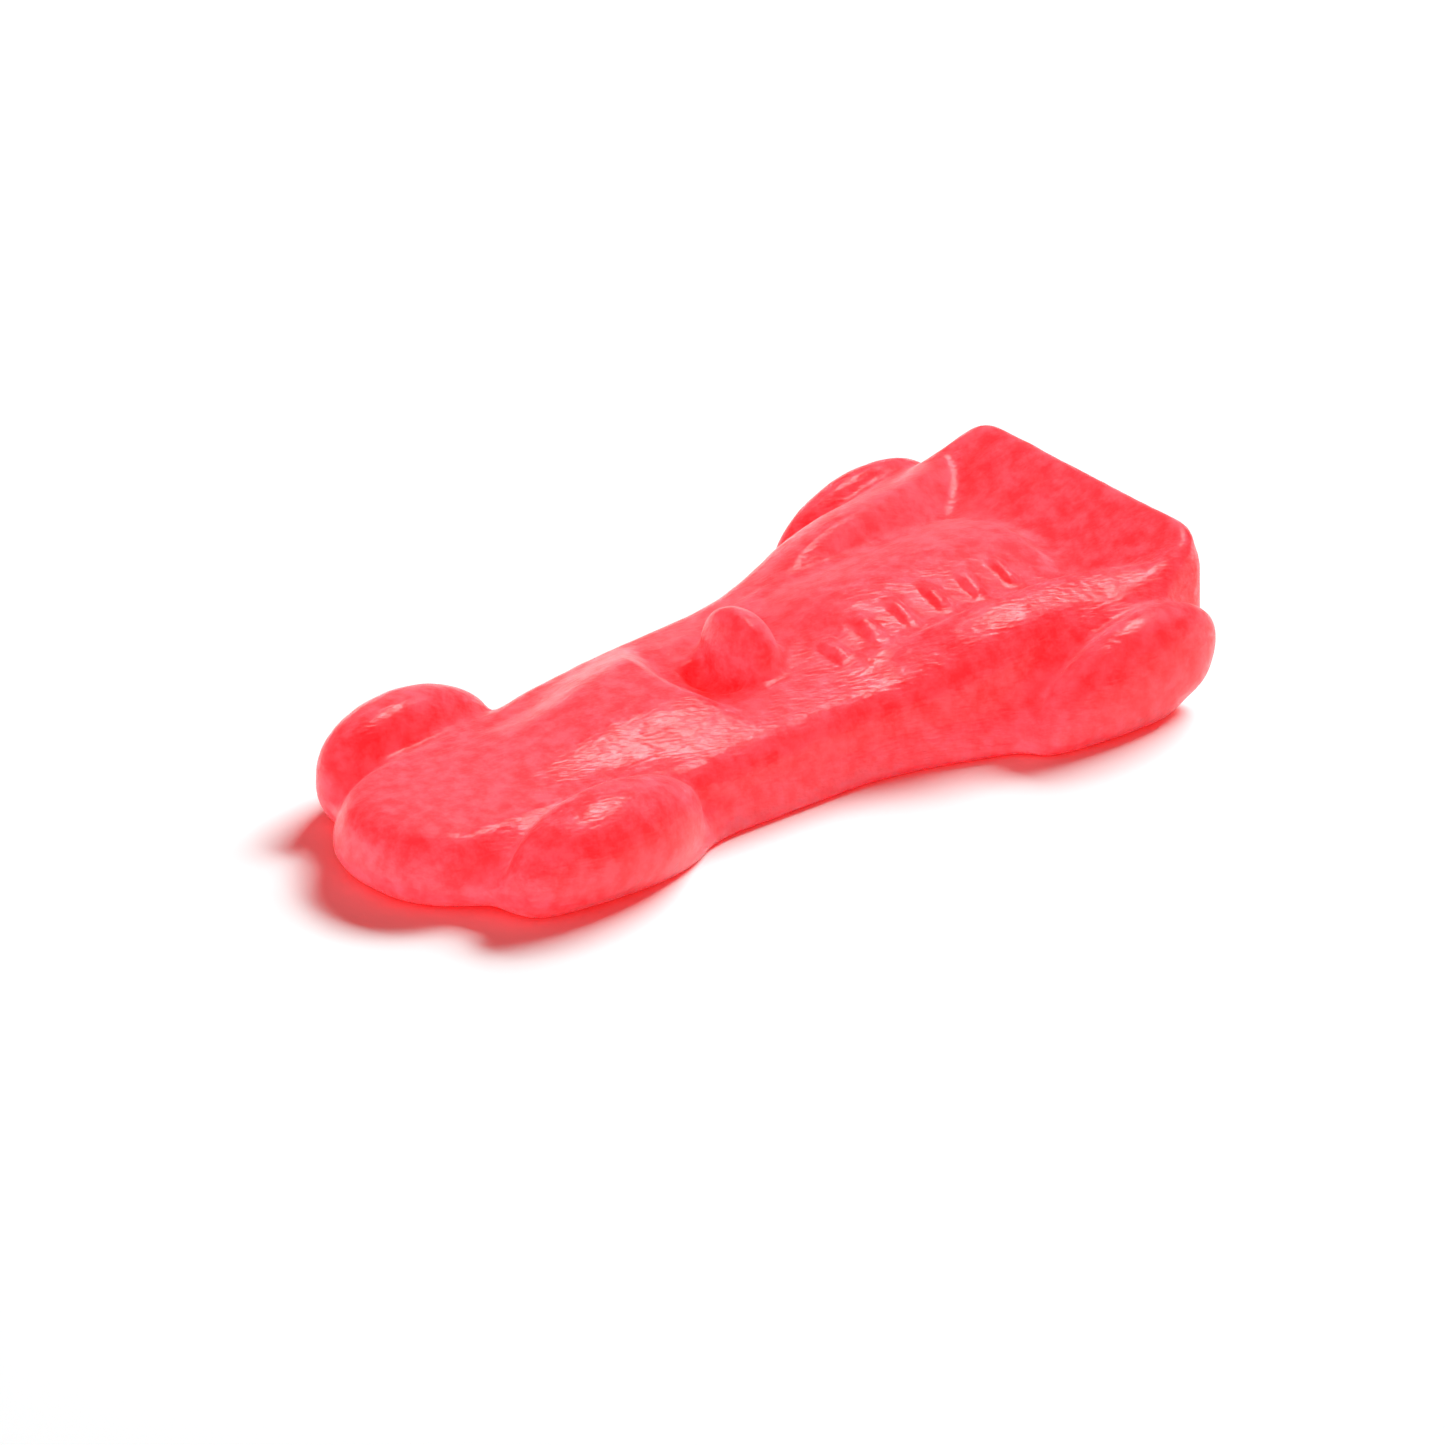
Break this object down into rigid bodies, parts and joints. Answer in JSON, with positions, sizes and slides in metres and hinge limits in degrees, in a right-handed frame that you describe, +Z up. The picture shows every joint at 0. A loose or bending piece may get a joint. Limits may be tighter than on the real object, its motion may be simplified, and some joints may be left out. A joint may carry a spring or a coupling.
{
  "type": "gummy car",
  "caption": "Moulded gummy sweet in the form of an open racing car with a flat underside.",
  "frame": {"origin": "on the flat underside, below the middle of the length, width and height box", "axes": "+Z up from the flat underside, -Y towards the nose, +X to the car's left"},
  "size_m": [0.0245, 0.0487, 0.0081],
  "materials": {
    "gum": "milky translucent red-pink fruit gum with a satin skin"
  },
  "bodies": {
    "root": {"gummy_car": "gum"}
  },
  "joints": []
}
